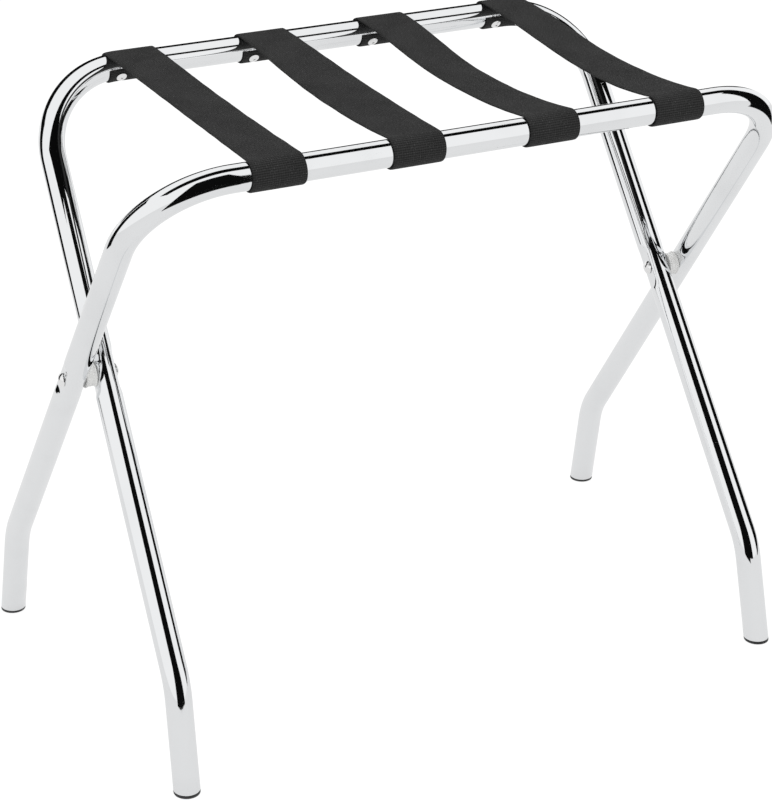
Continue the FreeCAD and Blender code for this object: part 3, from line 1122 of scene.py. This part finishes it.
@dataclass(frozen=True)
class CutEnd:
    """Loose threads along one cut end of a strap."""

    strap: WebbingStrap
    loop: Loop
    count: int = 80
    shortest: float = 0.8 * MM
    longest: float = 5.0 * MM
    thread_radius: float = 0.15 * MM
    sides: int = 5
    spread: float = 0.8
    widest_place: float = 0.49
    layer_share: float = 0.35
    taper: float = 0.6
    lean_share: float = 0.5

    def build(self) -> bmesh.types.BMesh:
        """Stand short tapered threads along the end, each with its own lean.

        Returns:
            The threads' mesh, each thread a closed cone.
        """
        strap = self.strap
        chance = random.Random(100 * strap.hang.number + self.loop.rail_side)
        along = 0.0 if self.loop is Loop.OUTER else 1.0
        step = along + (strap.row_length / strap.flat_length) * (1 if along == 0 else -1)
        mesh = bmesh.new()
        for _ in range(self.count):
            across = chance.uniform(-self.widest_place, self.widest_place)
            lift = chance.uniform(-self.layer_share, self.layer_share) * strap.thickness
            root = strap.place(across, step, lift)
            ahead = (strap.place(across, along, lift) - root).normalized()
            lean = Vector([chance.gauss(0, self.spread) for _ in range(3)])
            direction = (ahead + lean * self.lean_share).normalized()
            length = chance.uniform(self.shortest, self.longest)
            bmesh.ops.create_cone(
                mesh,
                cap_ends=True,
                segments=self.sides,
                radius1=self.thread_radius,
                radius2=self.thread_radius * self.taper,
                depth=length,
                matrix=facing(root + direction * length / 2, direction),
            )
        return mesh

    def dress(self, threads: bpy.types.Material) -> bpy.types.Object:
        """Build the threads and let them ride on the rail that holds them."""
        name = f"{self.strap.name}_{self.loop.strap_end}_threads"
        piece = finish_mesh(name, self.build(), threads)
        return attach(piece, self.loop.body)


@dataclass(frozen=True)
class StrapRivets:
    """The two blind rivets that hold one end of a strap to a rail."""

    strap: WebbingStrap
    loop: Loop
    head_radius: float = 4.5 * MM
    head_height: float = 1.7 * MM
    rim: float = 0.45 * MM
    recess_radius: float = 1.15 * MM
    recess_depth: float = 0.7 * MM
    shank_radius: float = 2 * MM
    tail_radius: float = 2.7 * MM
    tail_top: float = 9.3 * MM
    tail_bottom: float = 6.3 * MM

    def build(self) -> bmesh.types.BMesh:
        """Turn both rivets, each with its mandrel's hollow and its tail in the tube.

        Returns:
            The mesh of two closed rivets.
        """
        strap = self.strap
        seat = strap.sizes.tube_radius + strap.rail_gap + strap.thickness - strap.rivet_dent
        dome = dome_profile(self.head_radius, self.head_height, self.rim)[1:-1]
        dome = [(radius, seat + height) for radius, height in dome if radius > self.recess_radius]
        brim = seat + self.head_height
        profile = [
            (0.0, self.tail_bottom),
            (self.tail_radius - 0.3 * MM, self.tail_bottom),
            (self.tail_radius, self.tail_bottom + 0.5 * MM),
            (self.tail_radius, self.tail_top),
            (self.shank_radius, self.tail_top),
            (self.shank_radius, seat),
            *dome,
            (self.recess_radius, brim - 0.08 * MM),
            (self.recess_radius - 0.1 * MM, brim - self.recess_depth),
            (0.0, brim - self.recess_depth + 0.15 * MM),
        ]
        mesh = bmesh.new()
        for side in Side:
            middle = strap.front if self.loop is Loop.OUTER else strap.rear
            x = middle + side.value * strap.rivet_half_spacing
            centre = strap.around(self.loop, x, 0.0, 0.0)
            outward = strap.around(self.loop, x, 1.0, strap.rivet_place) - centre
            spin_profile(mesh, profile, facing(centre, outward), steps=28)
        return mesh

    def dress(self, finish: bpy.types.Material) -> bpy.types.Object:
        """Build the rivets, give them their finish and let them ride on the rail."""
        name = f"{self.strap.name}_{self.loop.strap_end}_rivets"
        piece = finish_mesh(f"{name}_domed", self.build(), finish)
        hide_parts(name)
        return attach(piece, self.loop.body)


# ----------------------------------------------------------------- studio


@dataclass(frozen=True)
class Flag:
    """Black studio flag that only shows as a dark stripe in the chrome."""

    name: str
    middle: tuple[float, float, float]
    spans: tuple[float, float]
    turn: float
    tilt: float = math.radians(90)

    def hang(self, black: bpy.types.Material) -> bpy.types.Object:
        """Hang the flag.

        Args:
            black: The flag's cloth.

        Returns:
            The flag's object.
        """
        mesh = bmesh.new()
        bmesh.ops.create_grid(mesh, x_segments=1, y_segments=1, size=0.5)
        spans = Matrix.Diagonal((*self.spans, 1, 1))
        turned = Matrix.Rotation(self.turn, 4, "Z") @ Matrix.Rotation(self.tilt, 4, "X")
        bmesh.ops.transform(
            mesh, matrix=Matrix.Translation(self.middle) @ turned @ spans, verts=mesh.verts[:]
        )
        flag = finish_mesh(self.name, mesh, black)
        flag.visible_camera = False
        flag.visible_diffuse = False
        flag.visible_shadow = False
        flag.visible_transmission = False
        return flag


@dataclass(frozen=True)
class Studio:
    """White cove with a soft overhead light and a few black flags."""

    floor_half_size: float = 4.0
    floor_drop: float = 0.3 * MM
    floor_glow: float = 0.68
    floor_seen_glow: float = 0.90
    floor_paint: float = 0.16
    flag_cloth: float = 0.004
    cove_light: float = 1.0
    softbox_power: float = 8.0
    softbox_size: float = 1.6
    softbox_height: float = 2.2
    flags: tuple[Flag, ...] = (
        Flag("flag_camera_side", (-0.295, -0.87, 0.75), (0.83, 1.9), 0.0),
        Flag("flag_camera_side_far", (0.275, -3.0, 2.3), (1.35, 4.6), 0.0),
        Flag("flag_left_back", (-1.10, 0.93, 0.65), (0.60, 1.3), math.radians(50)),
        Flag("flag_right", (0.87, -0.26, 0.68), (0.44, 1.36), math.radians(90)),
        Flag("flag_overhead", (0.1, -0.14, 0.83), (1.4, 0.16), 0.0, 0.0),
        Flag("flag_behind", (0.15, 0.39, 0.635), (1.3, 0.27), 0.0),
    )

    def build(self) -> None:
        """Lay the floor, set the surroundings, hang the flags and the softbox."""
        bpy.context.scene.view_settings.view_transform = "Standard"
        self.lay_floor()
        self.surround()
        black = bpy.data.materials.new("flag_cloth")
        black.use_nodes = True
        shader = black.node_tree.nodes["Principled BSDF"]
        shader.inputs["Base Color"].default_value = grey(self.flag_cloth)
        shader.inputs["Roughness"].default_value = 1.0
        shader.inputs["Specular IOR Level"].default_value = 0.0
        for flag in self.flags:
            flag.hang(black)
        light = bpy.data.lights.new("overhead_softbox", "AREA")
        light.energy = self.softbox_power
        light.size = self.softbox_size
        softbox = bpy.data.objects.new("overhead_softbox", light)
        softbox.location = (0, 0, self.softbox_height)
        softbox.visible_glossy = False
        bpy.context.scene.collection.objects.link(softbox)

    def lay_floor(self) -> None:
        """Lay a pale floor that glows a little, so that its shadows stay faint."""
        material, nodes = new_material("pale_floor")
        seen = nodes.add("ShaderNodeLightPath").outputs["Is Camera Ray"]
        glow = nodes.ramp(seen, 0.0, 1.0, self.floor_glow, self.floor_seen_glow)
        light = nodes.add("ShaderNodeEmission", {"Color": grey(1.0), "Strength": glow})
        paint = nodes.add("ShaderNodeBsdfDiffuse", {"Color": grey(self.floor_paint)})
        both = nodes.add("ShaderNodeAddShader", {0: light.outputs[0], 1: paint.outputs[0]})
        nodes.show(both.outputs[0])
        mesh = bmesh.new()
        bmesh.ops.create_grid(mesh, x_segments=1, y_segments=1, size=self.floor_half_size)
        bmesh.ops.translate(mesh, vec=(0, 0, -self.floor_drop), verts=mesh.verts[:])
        finish_mesh("studio_floor", mesh, material)

    def surround(self) -> None:
        """Surround the rack with an even white cove."""
        world = bpy.data.worlds.new("studio_cove")
        bpy.context.scene.world = world
        world.use_nodes = True
        background = world.node_tree.nodes["Background"].inputs
        background["Color"].default_value = grey(1.0)
        background["Strength"].default_value = self.cove_light


@dataclass(frozen=True)
class StudioCamera:
    """Long lens that looks down on the rack from its front left."""

    location: tuple[float, float, float] = (-0.89656, -1.77713, 1.12801)
    yaw: float = math.radians(26.569)
    pitch: float = math.radians(24.486)
    lens: float = 111.63
    sensor: float = 36.0

    def place(self) -> None:
        """Stand the camera and make it the scene's own."""
        data = bpy.data.cameras.new("studio_camera")
        data.lens = self.lens
        data.sensor_width = self.sensor
        camera = bpy.data.objects.new("studio_camera", data)
        camera.location = self.location
        camera.rotation_euler = (math.pi / 2 - self.pitch, 0, -self.yaw)
        bpy.context.scene.collection.objects.link(camera)
        bpy.context.scene.camera = camera


# ------------------------------------------------------------------- rack

CHROME = HardFinish(
    slot="tube_chrome",
    colour=(0.84, 0.85, 0.86),
    metallic=1.0,
    roughness=0.035,
    smudge_roughness=0.05,
    scratch_roughness=0.10,
    wave_height=0.02 * MM,
    wave_scale=22.0,
    shade_change=0.03,
)
RIVET_CHROME = HardFinish(
    slot="rivet_chrome",
    colour=(0.86, 0.86, 0.86),
    metallic=1.0,
    roughness=0.12,
    smudge_roughness=0.12,
    scratch_roughness=0.15,
    wave_height=0.05 * MM,
    wave_scale=160.0,
    shade_change=0.12,
)
PLUG_PLASTIC = HardFinish(
    slot="foot_plastic",
    colour=(0.014, 0.014, 0.015),
    metallic=0.0,
    roughness=0.42,
    smudge_roughness=0.15,
    scratch_roughness=0.2,
    wave_height=0.06 * MM,
    wave_scale=600.0,
    shade_change=-0.5,
)
SPACER_NYLON = HardFinish(
    slot="spacer_nylon",
    colour=(0.80, 0.80, 0.79),
    metallic=0.0,
    roughness=0.40,
    smudge_roughness=0.12,
    scratch_roughness=0.15,
    wave_height=0.05 * MM,
    wave_scale=500.0,
    shade_change=0.10,
)
HANGS = (
    StrapHang(1, 0.3 * MM, 2.0 * MM, 0.50, 0.50),
    StrapHang(2, 6.6 * MM, 2.0 * MM, 0.45, 0.45),
    StrapHang(3, 9.4 * MM, 12.0 * MM, 0.47, 0.50),
    StrapHang(4, 8.8 * MM, 9.8 * MM, 0.35, 0.45),
)


@dataclass(frozen=True)
class LuggageRack:
    """The whole rack: two tubes, their plugs, the pivots and four riveted straps."""

    sizes: RackSizes

    def dress(self) -> list[bpy.types.Object]:
        """Build every piece and give it its finish.

        Returns:
            The pieces, in the order that they were built.
        """
        wear = handling_wear_group()
        chrome = CHROME.material(wear)
        rivet_chrome = RIVET_CHROME.material(wear)
        plastic = PLUG_PLASTIC.material(wear)
        nylon = SPACER_NYLON.material(wear)
        webbing = WebbingFinish().material(weave_group())
        threads = ThreadFinish().material()
        pieces = []
        for loop in Loop:
            pieces.append(BentTube(self.sizes, loop).dress(chrome))
            for side in Side:
                pieces.append(FootPlug(self.sizes, loop, side).dress(plastic))
        for side in Side:
            pieces.append(PivotSpacer(side).dress(nylon))
            pieces.append(PivotRivet(side).dress(rivet_chrome))
        for hang in HANGS:
            strap = WebbingStrap(
                self.sizes,
                hang,
                front=middle_x(f"strap_{hang.number}_front_rivets"),
                rear=middle_x(f"strap_{hang.number}_rear_rivets"),
            )
            pieces.append(strap.dress(webbing, threads))
            for loop in Loop:
                pieces.append(StrapRivets(strap, loop).dress(rivet_chrome))
        return pieces


def main() -> None:
    """Build the rack around its frame, then the studio and the camera."""
    logging.basicConfig(level=logging.INFO, format="%(message)s")
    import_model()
    StudioCamera().place()
    Studio().build()
    for piece in LuggageRack(RackSizes.from_frame()).dress():
        LOG.info("built %s: %d faces", piece.name, len(piece.data.polygons))
    bpy.context.view_layer.update()


if __name__ == "__main__":
    main()
